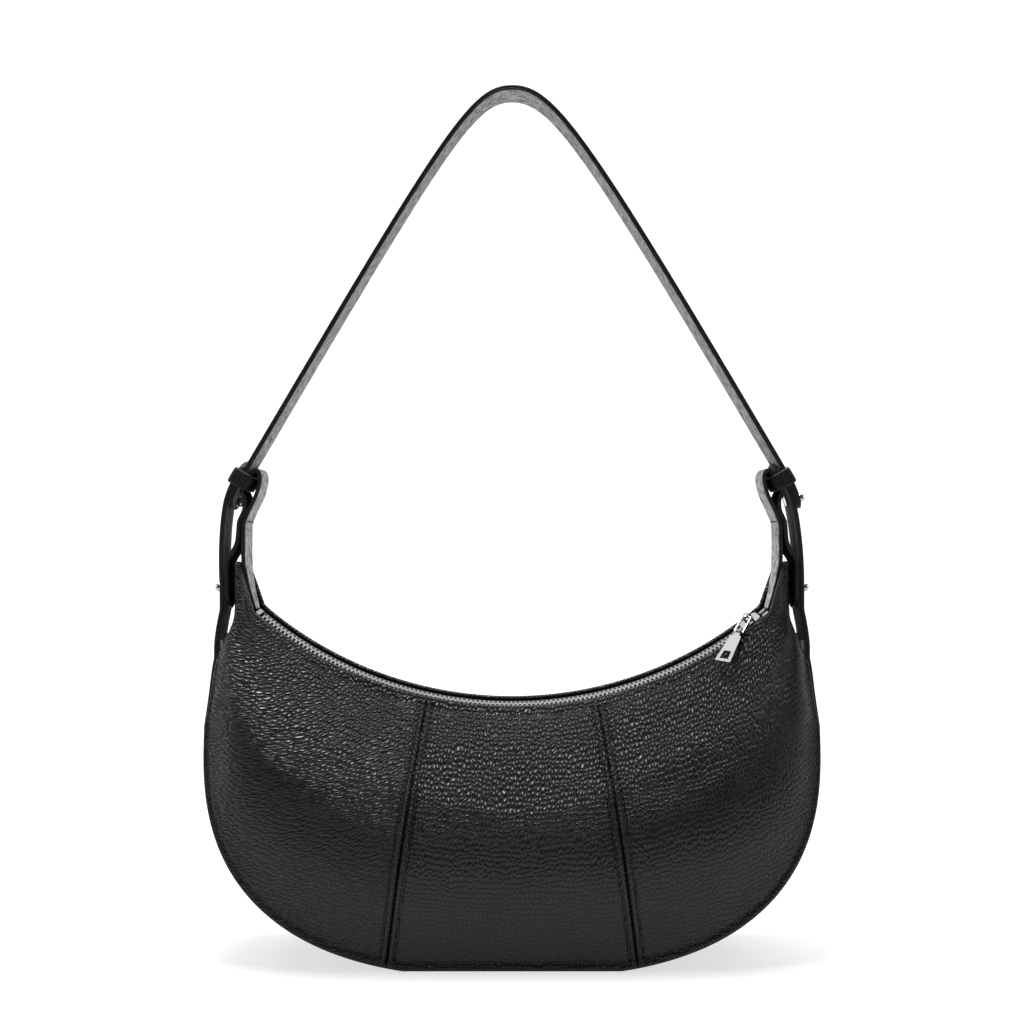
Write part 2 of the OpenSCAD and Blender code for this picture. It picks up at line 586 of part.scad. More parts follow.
// Horn facings: from the zip's end up inside the horn to the end of the loop
facing_r = 0.54 * rise;
facing_shares = [[-0.268, -0.16], [-0.234, -0.02], [-0.208, 0.13], [-0.194, 0.28], [-0.196, 0.56]];
facing_line = spline([for (s = facing_shares) from_stud(s)], 4);
function facing_half(z) = let (k = max(0, (z - zip_end.y) / (horn_z - zip_end.y)))
    z > horn_z ? min(strap_w / 2, lip_y(1) - leather - gap + (z - horn_z) / 3)
        : lip_y(mouth_share + (1 - mouth_share) * k) - leather - gap;
facing_side = let (z0 = facing_line[0].y - over)
    concat([for (k = [0:8]) let (z = z0 + (horn_z + strap_w / 4 - z0) * k / 8) [facing_half(z), z]],
        [for (a = [70:-10:0]) [min(strap_w / 2, facing_r * sin(a)), stud_z + facing_r * cos(a)]
            ] );
module horn_facing(s) {
    side_pts = [for (p = facing_side) if (p.y < stud_z + facing_r + over) p];
    color("#9a9a9c") side(s) intersection() {
        across(ribbon(facing_line, loop_t / 2, -loop_t / 2), strap_w);
        sideways(concat(side_pts, flip([for (p = side_pts) [-p.x, p.y]])), 0, body_half);
    }
}
module left_horn_facing() { horn_facing(-1); }
module right_horn_facing() { horn_facing(1); }

// Keepers: a leather band round the strap's end, the riser and the loop
function round_rect(x0, x1, y0, y1, r) = concat(
    [for (a = [0:22.5:90]) [x1 - r + r * cos(a), y1 - r + r * sin(a)]],
    [for (a = [90:22.5:180]) [x0 + r + r * cos(a), y1 - r + r * sin(a)]],
    [for (a = [180:22.5:270]) [x0 + r + r * cos(a), y0 + r + r * sin(a)]],
    [for (a = [270:22.5:360]) [x1 - r + r * cos(a), y0 + r + r * sin(a)]]);
keeper_out = max(strap_t, side_t) + gap;
keeper_in = keeper_out + loop_t + 2 * gap;
module keeper(s) {
    n = [sin(leg_angle), cos(leg_angle)];
    k = keeper_at;
    y = strap_w / 2 + gap;
    color("#18181a") side(s) multmatrix([[n.x, 0, -n.y, k.x], [0, 1, 0, 0], [n.y, 0, n.x, k.y],
        [0, 0, 0, 1]]) difference() {
        translate([0, 0, -keeper_h / 2]) linear_extrude(keeper_h) polygon(round_rect(
            -keeper_in - keeper_t, keeper_out + keeper_t, -y - keeper_t, y + keeper_t, 1.6 * keeper_t));
        translate([0, 0, -keeper_h]) linear_extrude(2 * keeper_h) polygon(round_rect(
            -keeper_in, keeper_out, -y, y, 0.3 * keeper_t));
    }
}
module left_keeper() { keeper(-1); }
module right_keeper() { keeper(1); }

// Studs: a ball on one side, a screw with a flat head on the other
module stud(span, ball) {
    head_t = 0.3 * post_d;
    union() {
        translate([0, 0, -head_t]) cylinder(d = 1.6 * post_d, h = head_t, $fn = 48);
        translate([0, 0, -head_t / 2]) cylinder(d = post_d, h = span + head_t + ball / 4, $fn = 48);
        translate([0, 0, span + 0.42 * ball]) intersection() {
            sphere(d = ball, $fn = 48);
            translate([0, 0, -ball]) cylinder(d = 2 * ball, h = 1.38 * ball);
        }
        translate([0, 0, span + lay]) cylinder(d1 = 1.5 * post_d, d2 = 1.1 * post_d, h = 0.16 * ball);
    }
}
module upper_stud(s) {
    // Each ball lies on the side of the strap's end
    f = -lap_of(s);
    inner = side_t + run + lay;
    dir = f * upper_out;
    color("#d4d4d7") side(s) translate([upper_at.x - dir.x * inner, 0, upper_at.y - dir.y * inner])
        rotate([0, 90 - atan2(dir.y, dir.x), 0]) stud(inner + strap_t + run + lay, ball_d * 0.8);
}
module left_upper_stud() { upper_stud(-1); }
module right_upper_stud() { upper_stud(1); }
module lower_stud(s) {
    x0 = horn_x - leather - lay;
    color("#d4d4d7") side(s) translate([x0, 0, stud_z]) rotate([0, 90, 0])
        stud(stud_x + side_t / 2 + lay - x0, ball_d * 0.8);
}
module left_lower_stud() { lower_stud(-1); }
module right_lower_stud() { lower_stud(1); }

front_centre_panel();
front_left_panel();
front_right_panel();
back_centre_panel();
back_left_panel();
back_right_panel();
gusset();
base_board();
lining_front();
lining_back();
lining_gusset();
slip_pocket();
zip_tape_front();
zip_tape_back();
zip_teeth_front();
zip_teeth_back();
zip_bottom_stop();
zip_top_stops();
zip_slider();
pull_link();
pull_plate();
left_horn_facing();
right_horn_facing();
left_side_strap();
right_side_strap();
left_strap_riser();
right_strap_riser();
left_horn_loop();
right_horn_loop();
left_keeper();
right_keeper();
shoulder_strap();
strap_lining();
left_upper_stud();
right_upper_stud();
left_lower_stud();
right_lower_stud();
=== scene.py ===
# Half moon shoulder bag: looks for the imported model. Metres, +X right, +Y back, +Z up.
from math import asin, atan2, cos, degrees, exp, pi, radians, sin, sqrt

import bmesh
import bpy
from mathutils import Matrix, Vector


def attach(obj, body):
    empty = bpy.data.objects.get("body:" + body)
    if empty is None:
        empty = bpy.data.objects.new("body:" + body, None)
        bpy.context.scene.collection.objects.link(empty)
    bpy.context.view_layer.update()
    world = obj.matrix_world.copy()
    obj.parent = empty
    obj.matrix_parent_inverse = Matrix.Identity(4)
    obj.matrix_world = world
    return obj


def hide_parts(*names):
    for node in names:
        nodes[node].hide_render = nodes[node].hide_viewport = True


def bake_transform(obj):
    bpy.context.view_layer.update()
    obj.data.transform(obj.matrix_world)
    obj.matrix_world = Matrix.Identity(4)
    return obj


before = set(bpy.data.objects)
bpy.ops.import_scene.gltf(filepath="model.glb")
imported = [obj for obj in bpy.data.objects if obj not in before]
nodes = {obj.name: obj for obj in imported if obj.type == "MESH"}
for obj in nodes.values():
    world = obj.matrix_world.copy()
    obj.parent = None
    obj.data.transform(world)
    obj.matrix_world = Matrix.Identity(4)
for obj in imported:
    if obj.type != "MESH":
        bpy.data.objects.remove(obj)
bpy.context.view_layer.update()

scene = bpy.context.scene
scene.view_settings.view_transform = "Standard"

# Camera: straight in front of the bag, level, a little above its middle. The photo's
# frame is square, and the bag's foot sits close to the lower edge.
lens_to_middle, camera_height = 0.650, 0.200
camera_data = bpy.data.cameras.new("camera")
camera_data.sensor_width = 36.0
camera_data.lens = 46.8
camera_data.shift_y = 0.0273
camera = bpy.data.objects.new("camera", camera_data)
camera.location = (0.0, -lens_to_middle, camera_height)
camera.rotation_euler = (radians(90), 0, 0)
scene.collection.objects.link(camera)
scene.camera = camera

# Studio: a white paper floor that curves up into a backdrop, a soft box above the left
# shoulder, a wash on the backdrop, a weak box at each side and a pale room.
paper_white, paper_glow = (0.94, 0.94, 0.945, 1), 0.66
room_light, room_seen = 0.14, 1.0


class Finish:
    """A node material in the making: its shader, and short calls that add nodes to it."""

    def __init__(self, name):
        self.made = bpy.data.materials.new(name)
        self.made.use_nodes = True
        self.tree = self.made.node_tree
        self.join = self.tree.links.new
        self.shader = self.tree.nodes["Principled BSDF"]

    def add(self, kind, values=None, links=None, **settings):
        """One node with its settings, the values it keeps and the sockets that feed it."""
        node = self.tree.nodes.new("ShaderNode" + kind)
        for key, value in settings.items():
            setattr(node, key, value)
        return self.feed(node, values, links)

    def feed(self, node, values=None, links=None):
        for key, value in (values or {}).items():
            node.inputs[key].default_value = value
        for key, socket in (links or {}).items():
            self.join(socket, node.inputs[key])
        return node

    def surface(self, values=None, links=None):
        self.feed(self.shader, values, links)
        return self.made

    def place(self, kind="Object"):
        return self.add("TexCoord").outputs[kind]

    def moved(self, at, values):
        return self.add("Mapping", values, {"Vector": at}).outputs["Vector"]

    def noise(self, scale, detail, rough=0.5, at=None, out="Fac"):
        return self.add("TexNoise", {"Scale": scale, "Detail": detail, "Roughness": rough},
                        {"Vector": at or self.place()}).outputs[out]

    def wave(self, scale, distortion, at=None, bands="X"):
        return self.add("TexWave", {"Scale": scale, "Distortion": distortion},
                        {"Vector": at or self.place()}, bands_direction=bands).outputs["Fac"]

    def math(self, operation, *terms):
        """A sum or product of terms, each a number or a socket."""
        node = self.add("Math", operation=operation)
        for socket, term in zip(node.inputs, terms):
            if isinstance(term, float):
                socket.default_value = term
            else:
                self.join(term, socket)
        return node.outputs[0]

    def remap(self, value, ends, kind="LINEAR"):
        return self.add("MapRange", ends, {"Value": value},
                        interpolation_type=kind).outputs["Result"]

    def mix(self, factor, low, high):
        """A colour between low and high, each a plain colour or a socket."""
        node = self.add("Mix", links={"Factor": factor}, data_type="RGBA")
        for key, colour in (("A", low), ("B", high)):
            if isinstance(colour, tuple):
                node.inputs[key].default_value = (*colour, 1)
            else:
                self.join(colour, node.inputs[key])
        return node.outputs["Result"]

    def bump(self, height, distance):
        node = self.add("Bump", {"Distance": distance}, {"Height": height})
        self.join(node.outputs["Normal"], self.shader.inputs["Normal"])
        return node


def studio_paper():
    """White paper that glows a little where the camera, metal or glass shows it, which
    lifts the shadow."""
    paper = Finish("studio_white")
    paper.surface({"Base Color": paper_white, "Roughness": 0.9, "Specular IOR Level": 0.1})
    ray = paper.add("LightPath").outputs
    seen = paper.math("MAXIMUM", ray["Is Camera Ray"], ray["Is Glossy Ray"])
    seen = paper.math("MAXIMUM", seen, ray["Is Transmission Ray"])
    glow = paper.add("Emission", {"Strength": 1.0})
    blend = paper.add("MixShader", links={
        0: paper.math("MULTIPLY", seen, paper_glow), 1: paper.shader.outputs[0],
        2: glow.outputs[0]})
    output = paper.tree.nodes["Material Output"]
    paper.join(blend.outputs[0], output.inputs["Surface"])
    return paper.made


def smooth_piece(name, mesh, *materials):
    """The smooth-shaded object that a finished mesh and its materials make."""
    data = bpy.data.meshes.new(name)
    mesh.to_mesh(data)
    mesh.free()
    for face in data.polygons:
        face.use_smooth = True
    for material in materials:
        data.materials.append(material)
    piece = bpy.data.objects.new(name, data)
    scene.collection.objects.link(piece)
    return piece


def studio_cove():
    """The floor runs back and turns up into the backdrop on a wide curve."""
    half_width, front, turn, back, height = 2.6, -0.40, 0.5, 1.1, 2.4
    sunk, bends = 0.0002, 12
    profile = [(front, 0.0), (back - turn, 0.0)]
    for k in range(1, bends + 1):
        a = radians(90 * k / bends)
        profile.append((back - turn + turn * sin(a), turn - turn * cos(a)))
    profile.append((back, height))
    mesh = bmesh.new()
    left, right = [[mesh.verts.new((x, y, z - sunk)) for y, z in profile]
                   for x in (-half_width, half_width)]
    for k in range(len(profile) - 1):
        mesh.faces.new((left[k], right[k], right[k + 1], left[k + 1]))
    smooth_piece("studio_cove", mesh, studio_paper())


studio_cove()


def soft_box(name, place, aim, size, watts):
    data = bpy.data.lights.new(name, "AREA")
    data.shape = "RECTANGLE"
    data.size, data.size_y = size
    data.energy = watts
    lamp = bpy.data.objects.new(name, data)
    lamp.location = place
    lamp.rotation_euler = (Vector(aim) - Vector(place)).to_track_quat("-Z", "Y").to_euler()
    scene.collection.objects.link(lamp)


soft_box("top_box", (-0.12, -0.06, 1.25), (0, 0, 0.12), (0.55, 0.28), 19.0)
soft_box("back_wash", (0, 0.35, 1.90), (0, 1.0, 0.3), (2.6, 0.7), 46.0)
soft_box("left_box", (-1.25, -0.25, 0.60), (0, 0, 0.12), (0.35, 0.9), 4.0)
soft_box("right_box", (1.25, -0.25, 0.60), (0, 0, 0.12), (0.35, 0.9), 4.0)

world = bpy.data.worlds.new("pale_room")
scene.world = world
world.use_nodes = True
room, join_room = world.node_tree.nodes, world.node_tree.links.new
room["Background"].inputs["Color"].default_value = (1, 1, 1, 1)
to_camera = room.new("ShaderNodeLightPath").outputs["Is Camera Ray"]
strength = room.new("ShaderNodeMapRange")
strength.inputs["To Min"].default_value = room_light
strength.inputs["To Max"].default_value = room_seen
join_room(to_camera, strength.inputs["Value"])
join_room(strength.outputs["Result"], room["Background"].inputs["Strength"])

# Panels: six cuts of pebbled hide, three in front and three behind, over one round form.
# Their edges are turned in, so the leather swells beside each seam and dips in the joint,
# and at the rim it folds over a raised sewn edge. Millimetres, as in the model.
mm = 0.001
body_half, wide_z, horn_z, horn_x = 146.0, 110.0, 184.5, 136.0
base_sag, base_depth, horn_depth, belly_depth = 3.0, 62.0, 17.0, 90.0
hide_t, lay, gap, strap_w = 1.5, 0.15, 0.3, 20.0
zip_r, zip_c, zip_tilt, zip_short = 192.0, 311.0, 18.0, 11.3
zip_half_angle = degrees(asin((horn_x - zip_short) / zip_r))
lip_half, tape_t = 5.6, 0.6
mouth_share, rim_straight, belly_power = 0.86, 0.743, 2.57
horn_top_x, tip_z, lip_widens = 0.961 * horn_x, 189.4, 0.94 * mouth_share
bulge = belly_depth / 2 - (lip_half + base_depth / 2) / 2
bulge_fade, bulge_power, bulge_high, rim_pinch = 0.96, 2.6, 0.8, 6


def smooth_curve(points, steps):
    """Catmull-Rom curve through points of any dimension."""
    out = []
    for i in range(len(points) - 1):
        a, b, c, d = (points[max(i - 1, 0)], points[i], points[i + 1],
                      points[min(i + 2, len(points) - 1)])
        for k in range(steps):
            t = k / steps
            out.append(tuple((2 * q + (r - p) * t + (2 * p - 5 * q + 4 * r - s) * t * t
                              + (3 * q - p - 3 * r + s) * t ** 3) / 2
                             for p, q, r, s in zip(a, b, c, d)))
    out.append(tuple(points[-1]))
    return out


def run_lengths(points):
    total, out = 0.0, [0.0]
    for a, b in zip(points, points[1:]):
        total += sqrt(sum((q - p) ** 2 for p, q in zip(a, b)))
        out.append(total)
    return out


def place_on(points, runs, s):
    if s <= 0:
        return points[0]
    for i in range(1, len(points)):
        if s <= runs[i]:
            t = (s - runs[i - 1]) / (runs[i] - runs[i - 1])
            return tuple(a + (b - a) * t for a, b in zip(points[i - 1], points[i]))
    return points[-1]


def clamped(x):
    return min(max(x, 0), 1)


def body_point(a):
    a = radians(a)
    return (body_half * sin(a) ** (2 / belly_power),
            max(wide_z - (wide_z + base_sag) * max(cos(a), 0) ** (2 / belly_power), 0.0))


# The gusset's outline, from the middle of the base to a horn's tip: the round belly, then
# the flank through places given as shares of its width and height.
flank_shares = ((0.8, 0.18), (0.52, 0.44), (0.05, 0.56), (-0.24, 0.68), (-0.3, 0.8),
                (-0.3, 0.9), (-0.33, 1), (-0.4, 1.065))
flank = [(body_half, wide_z)] + [
    (horn_x + x * (body_half - horn_x), wide_z + z * (horn_z - wide_z))
    for x, z in flank_shares]
outline = [body_point(0.75 * k) for k in range(120)] + smooth_curve(flank, 8)
outline_run = run_lengths(outline)
outline_len = outline_run[-1]


def half_depth(z):
    wave = max(0.5 + 0.5 * cos(pi * min(z / horn_z, 1)), 0)
    return horn_depth / 2 + (base_depth - horn_depth) / 2 * wave ** 0.9


def zip_section(q, h):
    t = radians(zip_tilt)
    return zip_r + q * sin(t) - h * cos(t), q * cos(t) + h * sin(t)


def lip_y(u):
    share = max(0, abs(u) - lip_widens) / (1 - lip_widens)
    return lip_half + share * (strap_w / 2 + gap - lip_half)


def mouth_xz(u, f):
    """The panel's edge at the mouth: an arc beside the zip, then a line up the horn."""
    m, g = abs(u), -1 if u < 0 else 1
    a = radians(zip_half_angle * min(m / mouth_share, 1))
    r = zip_section(f * lip_half, tape_t / 2 + hide_t + gap)[0]
    e = max(0, m - mouth_share) / (1 - mouth_share)
    x, z = r * sin(a), zip_c - r * cos(a)
    return g * (x + e * (horn_top_x - x)), z + e * (tip_z - z)


def rim_xz(u):
    m, g = abs(u), -1 if u < 0 else 1
    share = rim_straight * m + (1 - rim_straight) * m ** 3
    x, z = place_on(outline, outline_run, outline_len * share)
    return g * x, z


def skin(u, v, f):
    """A place on a panel's outer face. u runs from horn to horn, -1 to 1, and v from the
    mouth, 0, to the rim, 1. f is 1 on the front and -1 on the back."""
    (mx, mz), (rx, rz) = mouth_xz(u, f), rim_xz(u)
    w, ly = half_depth(rz) + lay + hide_t, lip_y(u)
    v = max(v, 0.0)
    swell = (bulge * (1 - bulge_fade * abs(u) ** bulge_power)
             * sin(pi * min(v, 1) ** bulge_high) * (1 - v ** rim_pinch))
    y = ly + (w - ly) * v * v * (3 - 2 * v) + swell
    return Vector((mx + (rx - mx) * v, -f * y, max(mz + (rz - mz) * v, 0.0)))


def skin_out(u, v, f):
    """Outward normal of a panel; at the rim it turns straight to the front or back."""
    e = 0.01
    a = skin(u + e, v, f) - skin(u - e, v, f)
    b = skin(u, min(v + e, 1), f) - skin(u, max(v - e, 0), f)
    n = a.cross(b).normalized()
    if n.y * f > 0:
        n = -n
    at_rim = min(v, 1) ** 8
    return (n * (1 - at_rim) + Vector((0, -f, 0)) * at_rim).normalized()


def pebbled_hide(name, pebble, depth, tone, gloss, shine=0.24, rows=False):
    """Full-grain leather with domed pebbles and creases between them, both lengths in
    metres. The creases' shade is painted: the colour falls from the tone on each dome to a
    fifth of it in the crease. In rows, the pebbles follow the cut of each panel, and they
    are pulled flatter below its shoulder."""
    hide = Finish(name)
    spot = hide.place()
    drift = hide.add("VectorMath", {1: (pebble * 4.0,) * 3}, {
        0: hide.noise(0.09 / pebble, 3.0, 0.6, spot, "Color"),
        2: hide.place("UV") if rows else spot}, operation="MULTIPLY_ADD").outputs[0]
    oval = hide.moved(drift, {"Scale": (1.16, 0.84, 1.0)})
    cells, edges = [hide.add("TexVoronoi", {"Scale": 1 / pebble, "Randomness": 0.62},
                             {"Vector": oval}, feature=feature,
                             voronoi_dimensions="2D" if rows else "3D").outputs["Distance"]
                    for feature in ("F1", "DISTANCE_TO_EDGE")]
    cap = hide.remap(cells, {"From Max": 0.66, "To Min": 0.75, "To Max": 0.0}, "SMOOTHSTEP")
    dome = hide.remap(edges, {"From Max": 0.20}, "SMOOTHSTEP")
    relief = hide.math("MULTIPLY_ADD", dome, 0.40, cap)
    creased = hide.moved(drift, {"Scale": (0.30 / pebble, 0.09 / pebble, 0.30 / pebble)})
    wrinkle = hide.noise(1.0, 2.5, at=creased)
    bump = hide.bump(hide.math("MULTIPLY_ADD", wrinkle, 0.9, relief), depth)
    if rows:
        x, _, z = hide.add("SeparateXYZ", links={"Vector": spot}).outputs
        height = hide.math("MULTIPLY_ADD", hide.math("MULTIPLY", x, x), -3.6, z)
        slack = hide.remap(height, {"From Min": 0.044, "From Max": 0.076, "To Min": 0.48},
                           "SMOOTHSTEP")
        hide.join(slack, bump.inputs["Strength"])
    worn = hide.mix(hide.noise(26.0, 3.0), (tone * 0.8, tone * 0.8, tone * 0.82),
                    (tone * 1.25, tone * 1.24, tone * 1.25))
    # Painted shade: the colour darkens from each dome's top to near black in the creases round it.
    return hide.surface({"IOR": 1.5, "Specular IOR Level": gloss}, {
        "Base Color": hide.mix(dome, (tone * 0.2,) * 3, worn),
        "Roughness": hide.remap(dome, {"To Min": shine + 0.34, "To Max": shine})})


body_hide = pebbled_hide("pebbled_black_hide", 0.0021, 0.00055, 0.006, 0.26, rows=True)
seam_x = 41.0
seam_share = mouth_share * degrees(asin(seam_x / zip_r)) / zip_half_angle
panel_sides = {"centre": (-seam_share, seam_share), "left": (-1.0, -seam_share),
               "right": (seam_share, 1.0)}
seam_stitch_out, lip_stitch_in, rim_stitch_in = 3.2, 3.9, 4.2
lip_high, lip_low, lip_back, lip_swept = 1.5, 0.6, 0.7, 0.25
sweep_from, sweep_over = 0.45, 0.15
ridge_rise, ridge_width = 3.0, 10.0
ridge_at = ((0, 0.40), (0.17, 0.355), (0.33, 0.31), (0.45, 0.28), (0.62, 0.27), (0.75, 0.30),
            (1, 0.33))
centre_steps, side_steps, down_steps = 70, 96, 84
finest_across, finest_down = 0.0021, 0.0023


def bell(x, width):
    return exp(-((x / width) ** 2))


def shell(name, grid, inner, material):
    """A closed skin from rows of outer points and the matching inner points. Its flat
    coordinates are the lengths along the piece and across it, in metres."""
    mesh = bmesh.new()
    n, m = len(grid), len(grid[0])
    out = [[mesh.verts.new(p * mm) for p in row] for row in grid]
    back = [[mesh.verts.new(p * mm) for p in row] for row in inner]
    flat = {}
    across = [0.0] * m
    for i, row in enumerate(grid):
        if i:
            across = [a + (q - p).length * mm for a, p, q in zip(across, grid[i - 1], row)]
        for j, along in enumerate(run_lengths(row)):
            flat[out[i][j]] = flat[back[i][j]] = (across[j], along * mm)
    for i in range(n - 1):
        for j in range(m - 1):
            mesh.faces.new((out[i][j], out[i + 1][j], out[i + 1][j + 1], out[i][j + 1]))
            mesh.faces.new((back[i][j], back[i][j + 1], back[i + 1][j + 1], back[i + 1][j]))
    for i in range(n - 1):
        mesh.faces.new((out[i][0], back[i][0], back[i + 1][0], out[i + 1][0]))
        mesh.faces.new((out[i][-1], out[i + 1][-1], back[i + 1][-1], back[i][-1]))
    for j in range(m - 1):
        mesh.faces.new((out[0][j], out[0][j + 1], back[0][j + 1], back[0][j]))
        mesh.faces.new((out[-1][j], back[-1][j], back[-1][j + 1], out[-1][j + 1]))
    layer = mesh.loops.layers.uv.new("grain")
    for face in mesh.faces:
        for corner in face.loops:
            corner[layer].uv = flat[corner.vert]
    bmesh.ops.recalc_face_normals(mesh, faces=mesh.faces)
    piece = smooth_piece(name, mesh, material)
    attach(piece, "bag")
    return piece


def seam_width(v, f):
    """Millimetres of surface for one step of u beside a seam."""
    return (skin(seam_share + 0.01, v, f) - skin(seam_share - 0.01, v, f)).length / 0.02


def down_length(u, f):
    """Millimetres from the mouth to the rim over the plain form."""
    run = [skin(u, k / 24, f) for k in range(25)]
    return sum((q - p).length for p, q in zip(run, run[1:]))


def shoulder(u, v, down):
    """The hide breaks over a shoulder: a slope above it, a flat face below it."""
    u = abs(u)
    for (a, va), (b, vb) in zip(ridge_at, ridge_at[1:]):
        if u <= b:
            turn = va + (vb - va) * (u - a) / (b - a)
            break
    else:
        turn = ridge_at[-1][1]
    d = (v - turn) * down / ridge_width
    rounded = exp(0.25 - sqrt(d * d + 0.25 ** 2))
    return ridge_rise * (1 - 0.75 * u * u) * rounded * sin(pi * clamped(v))


def rise_of(u, v, f, across_seam, down):
    """How far the made-up leather stands off the plain form. On the front, the lip is
    lower to the right, and at the far left it and the soft hollows leave room for the
    pull at the end of its travel."""
    s = abs(abs(u) - seam_share) * across_seam
    from_lip, from_rim = v * down, (1 - v) * down
    fold = 0.9 * bell(s - 1.5, 1.3) - bell(s, 0.55) - 0.85 * bell(s - seam_stitch_out, 0.6)
    fold *= clamped(from_lip / 5) * clamped(from_rim / 5)
    swept = clamped((-u - sweep_from) / sweep_over) if f > 0 else 0.0
    stand = lip_high - (lip_high - lip_low) * clamped(0.5 + 2.2 * u) if f > 0 else lip_back
    stand = stand * (1 - swept) + lip_swept * swept
    lip = stand * bell(from_lip - 0.7, 1.3) - 0.5 * bell(from_lip - lip_stitch_in, 0.6)
    rim = 0.45 * bell(from_rim - 1.2, 1.5) - 0.5 * bell(from_rim - rim_stitch_in, 0.9)
    soft = (0.5 * sin(9.0 * u + 2.0) * sin(7.5 * v + 0.6 + u)
            + 0.35 * sin(21.0 * u + 1.2) * sin(5.0 * v + 2.4)) * sin(pi * clamped(v))
    soft *= 0.8 * (1 - 0.8 * swept * bell(v, 0.4))
    return fold + lip + rim + soft + shoulder(u, v, down)


def steps_between(a, b, count, fine_at, finest, fine_steps=17):
    """Places from a to b, closer together near each end in fine_at, a place and the
    direction from it into the piece."""
    out = [a + (b - a) * k / count for k in range(count + 1)]
    keep = [x for x in out if all(abs(x - e) > fine_steps * finest for e, _ in fine_at)]
    keep += [edge + sign * finest * k for edge, sign in fine_at for k in range(fine_steps)]
    return sorted(set(round(x, 7) for x in keep if min(a, b) <= x <= max(a, b)))


def panel(name, which, f):
    u0, u1 = panel_sides[which]
    seams = [(end, into) for end, into in ((u0, 1), (u1, -1)) if abs(end) < 1]
    across = centre_steps if which == "centre" else side_steps
    us = steps_between(u0, u1, across, seams, finest_across)
    vs = steps_between(0.0, 1.0, down_steps, [(0.0, 1), (1.0, -1)], finest_down)
    outer, inner = [], []
    for u in us:
        down = down_length(u, f)
        row, under = [], []
        for v in vs:
            n, p = skin_out(u, v, f), skin(u, v, f)
            q, w = p + n * rise_of(u, v, f, seam_width(v, f), down), p - n * hide_t
            q.z, w.z = max(q.z, 0.0), max(w.z, 0.0)
            row.append(q)
            under.append(w)
        outer.append(row)
        inner.append(under)
    piece = shell(name, outer, inner, body_hide)
    return piece


for f, face in ((1, "front"), (-1, "back")):
    for which in panel_sides:
        piece = panel(f"{face}_{which}_hide", which, f)
        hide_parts(f"{face}_{which}_panel")

# Stitching: waxed black thread in short lock stitches, sunk a little into the leather.
# Two rows run beside each front and back seam, one row along the rim and one along the
# turned edge at the mouth.
stitch_pitch, stitch_gap, thread_d = 3.1, 1.0, 0.9
stitch_bow, stitch_sunk, stitch_aim = 0.16, 0.12, 0.3


def waxed_thread():
    thread = Finish("waxed_thread")
    twist = thread.wave(900.0, 1.5)
    thread.bump(twist, 0.0001)
    return thread.surface({"Roughness": 0.6}, {
        "Base Color": thread.mix(twist, (0.002,) * 3, (0.007, 0.007, 0.008))})


thread = waxed_thread()


def stitches(name, rows, body):
    """Lock stitches along rows of (place, outward normal); each is a bent, tapered tube."""
    mesh = bmesh.new()
    sides, rings = 6, 5
    for row in rows:
        places = [p for p, _ in row]
        runs = run_lengths(places)
        count = int(runs[-1] / stitch_pitch)
        for k in range(count):
            a = runs[-1] / count * k + stitch_gap / 2
            b = runs[-1] / count * (k + 1) - stitch_gap / 2
            loops = []
            for r in range(rings):
                t = r / (rings - 1)
                s = a + (b - a) * t
                p = Vector(place_on(places, runs, s))
                ahead = (Vector(place_on(places, runs, s + stitch_aim))
                         - Vector(place_on(places, runs, s - stitch_aim)))
                n = row[min(range(len(runs)), key=lambda q: abs(runs[q] - s))][1]
                side = ahead.cross(n).normalized()
                thick = thread_d / 2 * (0.55 + 0.45 * sin(pi * t))
                p = p + n * (stitch_bow * sin(pi * t) - stitch_sunk)
                turns = [2 * pi * j / sides for j in range(sides)]
                loops.append([mesh.verts.new((p + (side * cos(w) + n * sin(w)) * thick) * mm)
                              for w in turns])
            for la, lb in zip(loops, loops[1:]):
                for j in range(sides):
                    after = (j + 1) % sides
                    mesh.faces.new((la[j], la[after], lb[after], lb[j]))
            mesh.faces.new(loops[0][::-1])
            mesh.faces.new(loops[-1])
    bmesh.ops.recalc_face_normals(mesh, faces=mesh.faces)
    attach(smooth_piece(name, mesh, thread), body)


def on_skin(u, v, f):
    n = skin_out(u, v, f)
    q = skin(u, v, f) + n * rise_of(u, v, f, seam_width(v, f), down_length(u, f))
    return q, n


seam_steps, edge_steps, past_seam, short_of_horn = 80, 70, 0.012, 0.985
row_top, row_span = 0.03, 0.955
edge_runs = [(-short_of_horn, -seam_share - past_seam),
             (-seam_share + past_seam, seam_share - past_seam),
             (seam_share + past_seam, short_of_horn)]
for f, face in ((1, "front"), (-1, "back")):
    rows = []
    for g in (-1, 1):
        for s in (-1, 1):
            rows.append([on_skin(g * (seam_share + s * seam_stitch_out / seam_width(v, f)), v, f)
                         for v in [row_top + row_span * k / seam_steps
                                   for k in range(seam_steps + 1)]])
    stitches(f"{face}_seam_stitches", rows, "bag")
    edges = []
    for u0, u1 in edge_runs:
        us = [u0 + (u1 - u0) * k / edge_steps for k in range(edge_steps + 1)]
        edges.append([on_skin(u, lip_stitch_in / down_length(u, f), f) for u in us])
        edges.append([on_skin(u, 1 - rim_stitch_in / down_length(u, f), f) for u in us])
    stitches(f"{face}_edge_stitches", edges, "bag")

# Gusset: one strip of the same hide round the sides and base. Its long edges are sewn to
# the panels' rims, so it stands a little proud of the seam and rounds over at the edge.
gusset_steps, gusset_stitch_in, gusset_crease_in = 240, 3.8, 4.0
row_end, under_base = 0.99, 1.2
gusset_across = [0.15, 0.4, 0.65, 0.8, 0.9, 0.955, 0.985, 1]
gusset_across = [-w for w in reversed(gusset_across)] + gusset_across


